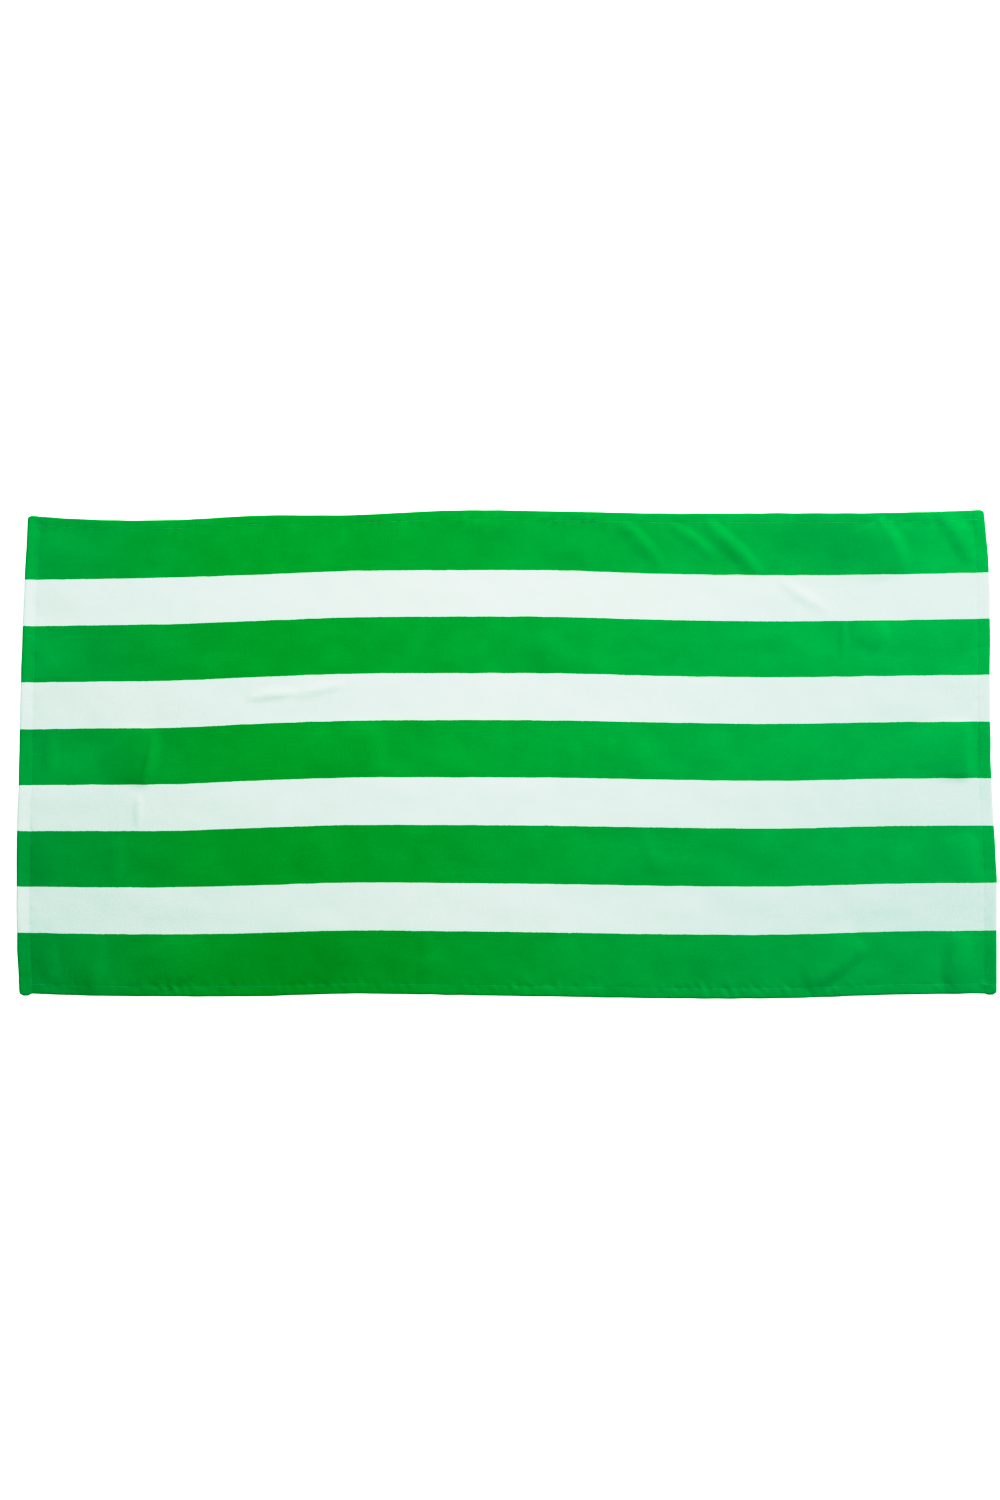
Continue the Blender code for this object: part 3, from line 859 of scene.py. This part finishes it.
def sheared_pile():
    """The face: a short cut pile, lighter and darker in soft patches, with its tufts in rows."""
    shader = Shader("sheared_pile", PILE_FINISH)
    place = shader.add("UVMap", {}, uv_map="Cloth")
    lightness = 0.0
    for *look, share in (FACE_PATCHES, FACE_STREAKS, FACE_TUFTS):
        spots = shader.noise(place, *look)
        lightness = shader.math("ADD", lightness, shader.math("MULTIPLY", spots, share))
    colour = yarn_colour(shader, place, shader.spread(lightness, *FACE_RANGE))
    colour = shader.mix(1.0, colour, patch_tone(shader, place), blend="MULTIPLY")
    normal = shader.bump(spots, FACE_RELIEF)  # of the tufts, which are the last ones
    return shader.finish(colour, normal)


def looped_pile():
    """The reverse: uncut loops, which stand in rows, with painted shade that darkens the gaps between them.
    """
    shader = Shader("looped_pile", PILE_FINISH)
    place = shader.add("UVMap", {}, uv_map="Cloth")
    inputs = {"Vector": place, "Scale": 1 / LOOP_STRAY_SIZE}
    astray = shader.add("TexNoise", inputs, output=1, noise_dimensions="2D")
    shift = shader.add("VectorMath", {0: astray, 1: (LOOP_STRAY,) * 3, 2: place}, operation="MULTIPLY_ADD")
    inputs = {"Vector": shift, "Scale": 1 / LOOP_SIZE, "Randomness": LOOP_RANDOMNESS}
    from_loop = shader.add("TexVoronoi", inputs, voronoi_dimensions="2D")
    loops = shader.spread(from_loop, *LOOP_RANGE)
    *look, share = REVERSE_PATCHES
    patches = shader.math("MULTIPLY", shader.noise(place, *look), share)
    lightness = shader.math("ADD", shader.math("MULTIPLY", loops, LOOP_SHARE), patches)
    colour = yarn_colour(shader, place, lightness)
    # painted shade in the gaps between the loops
    shade = shader.spread(loops, 0.0, LOOP_SHADE_TOP, LOOP_SHADE, 1.0)
    colour = shader.mix(1.0, colour, shade, blend="MULTIPLY")
    fibre_size, fibre_relief = LOOP_FIBRES
    fibres = shader.bump(shader.noise(place, fibre_size), fibre_relief)
    return shader.finish(colour, shader.bump(loops, LOOP_RELIEF, fibres))


def sewing_thread():
    """Twisted cotton thread, whose plies show as fine slanting lines."""
    shader = Shader("sewing_thread", THREAD_FINISH)
    place = shader.add("TexCoord", {}, output=3)  # in the object's own metres
    inputs = {"Vector": place, "Scale": PLIES, "Distortion": PLY_DISTORTION}
    twist = shader.add("TexWave", inputs, bands_direction="DIAGONAL")
    wear = shader.add("TexNoise", {"Vector": place, "Scale": 1 / WEAR_SIZE})
    lightness = shader.math("MULTIPLY", shader.math("ADD", twist, wear), 0.5)
    return shader.finish(shader.mix(lightness, THREAD_DEEP, THREAD_LIGHT), shader.bump(twist, PLY_RELIEF))


# --------------------------------------------------------------------------------------- floor, light, camera


def add_floor():
    corners = ((-1, -1), (1, -1), (1, 1), (-1, 1))
    points = np.array([(FLOOR_HALF * x, FLOOR_HALF * y, -FLOOR_DROP) for x, y in corners])
    floor = new_object("floor", points, [(0, 1, 2, 3)])
    shader = Shader("pale_floor", FLOOR_FINISH)
    shader.surface.inputs["Base Color"].default_value = FLOOR
    shader.surface.inputs["Emission Color"].default_value = WHITE
    shader.surface.inputs["Emission Strength"].default_value = FLOOR_GLOW
    floor.data.materials.append(shader.material)


def add_lights():
    for name, place, size, power in LIGHTS:
        data = bpy.data.lights.new(name, "AREA")
        data.size = size
        data.energy = power
        light = bpy.data.objects.new(name, data)
        light.location = place
        light.rotation_euler = (-Vector(place)).to_track_quat("-Z", "Y").to_euler()
        bpy.context.scene.collection.objects.link(light)
    world = bpy.data.worlds.new("studio")
    world.use_nodes = True
    background = world.node_tree.nodes["Background"]
    background.inputs["Color"].default_value = WHITE
    seen = world.node_tree.nodes.new("ShaderNodeLightPath").outputs["Is Camera Ray"]
    strength = world.node_tree.nodes.new("ShaderNodeMapRange")
    strength.inputs["To Min"].default_value = EVEN_LIGHT
    strength.inputs["To Max"].default_value = BACKDROP
    world.node_tree.links.new(seen, strength.inputs["Value"])
    world.node_tree.links.new(strength.outputs["Result"], background.inputs["Strength"])
    bpy.context.scene.world = world


def add_camera():
    """The photograph's view: almost straight down, with the towel's middle at its pixel."""
    data = bpy.data.cameras.new("camera")
    data.sensor_width = SENSOR
    data.lens = SENSOR * FOCAL_PIXELS / PHOTO_SIZE[1]
    data.shift_x = (PHOTO_SIZE[0] / 2 - LOOK_PIXEL[0]) / PHOTO_SIZE[1]
    data.shift_y = (LOOK_PIXEL[1] - PHOTO_SIZE[1] / 2) / PHOTO_SIZE[1]
    camera = bpy.data.objects.new("camera", data)
    camera.location = LOOK_POINT + DISTANCE * Vector((0.0, -math.sin(LEAN), math.cos(LEAN)))
    camera.rotation_euler = (LEAN, 0.0, 0.0)
    bpy.context.scene.collection.objects.link(camera)
    bpy.context.scene.camera = camera


def set_tones():
    view = bpy.context.scene.view_settings
    view.view_transform = "Standard"
    view.look = "None"
    view.use_curve_mapping = True
    view.curve_mapping.extend = "EXTRAPOLATED"
    points = view.curve_mapping.curves[3].points  # the curve for all three colours
    points[0].location, points[1].location = TONES[0], TONES[-1]
    for light, tone in TONES[1:-1]:
        points.new(light, tone)
    for point in points:
        point.handle_type = "AUTO_CLAMPED"
    view.curve_mapping.update()


# -------------------------------------------------------------------------------------------------- the scene

add_camera()
set_tones()
add_lights()
add_floor()

towel, move = make_towel(sheared_pile(), looped_pile())
thread = sewing_thread()
face_stitches = make_stitches("stitches_face", 1.0, move, thread)
reverse_stitches = make_stitches("stitches_reverse", 0.0, move, thread)

for piece in (towel, face_stitches, reverse_stitches):
    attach(piece, "root")
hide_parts("towel")
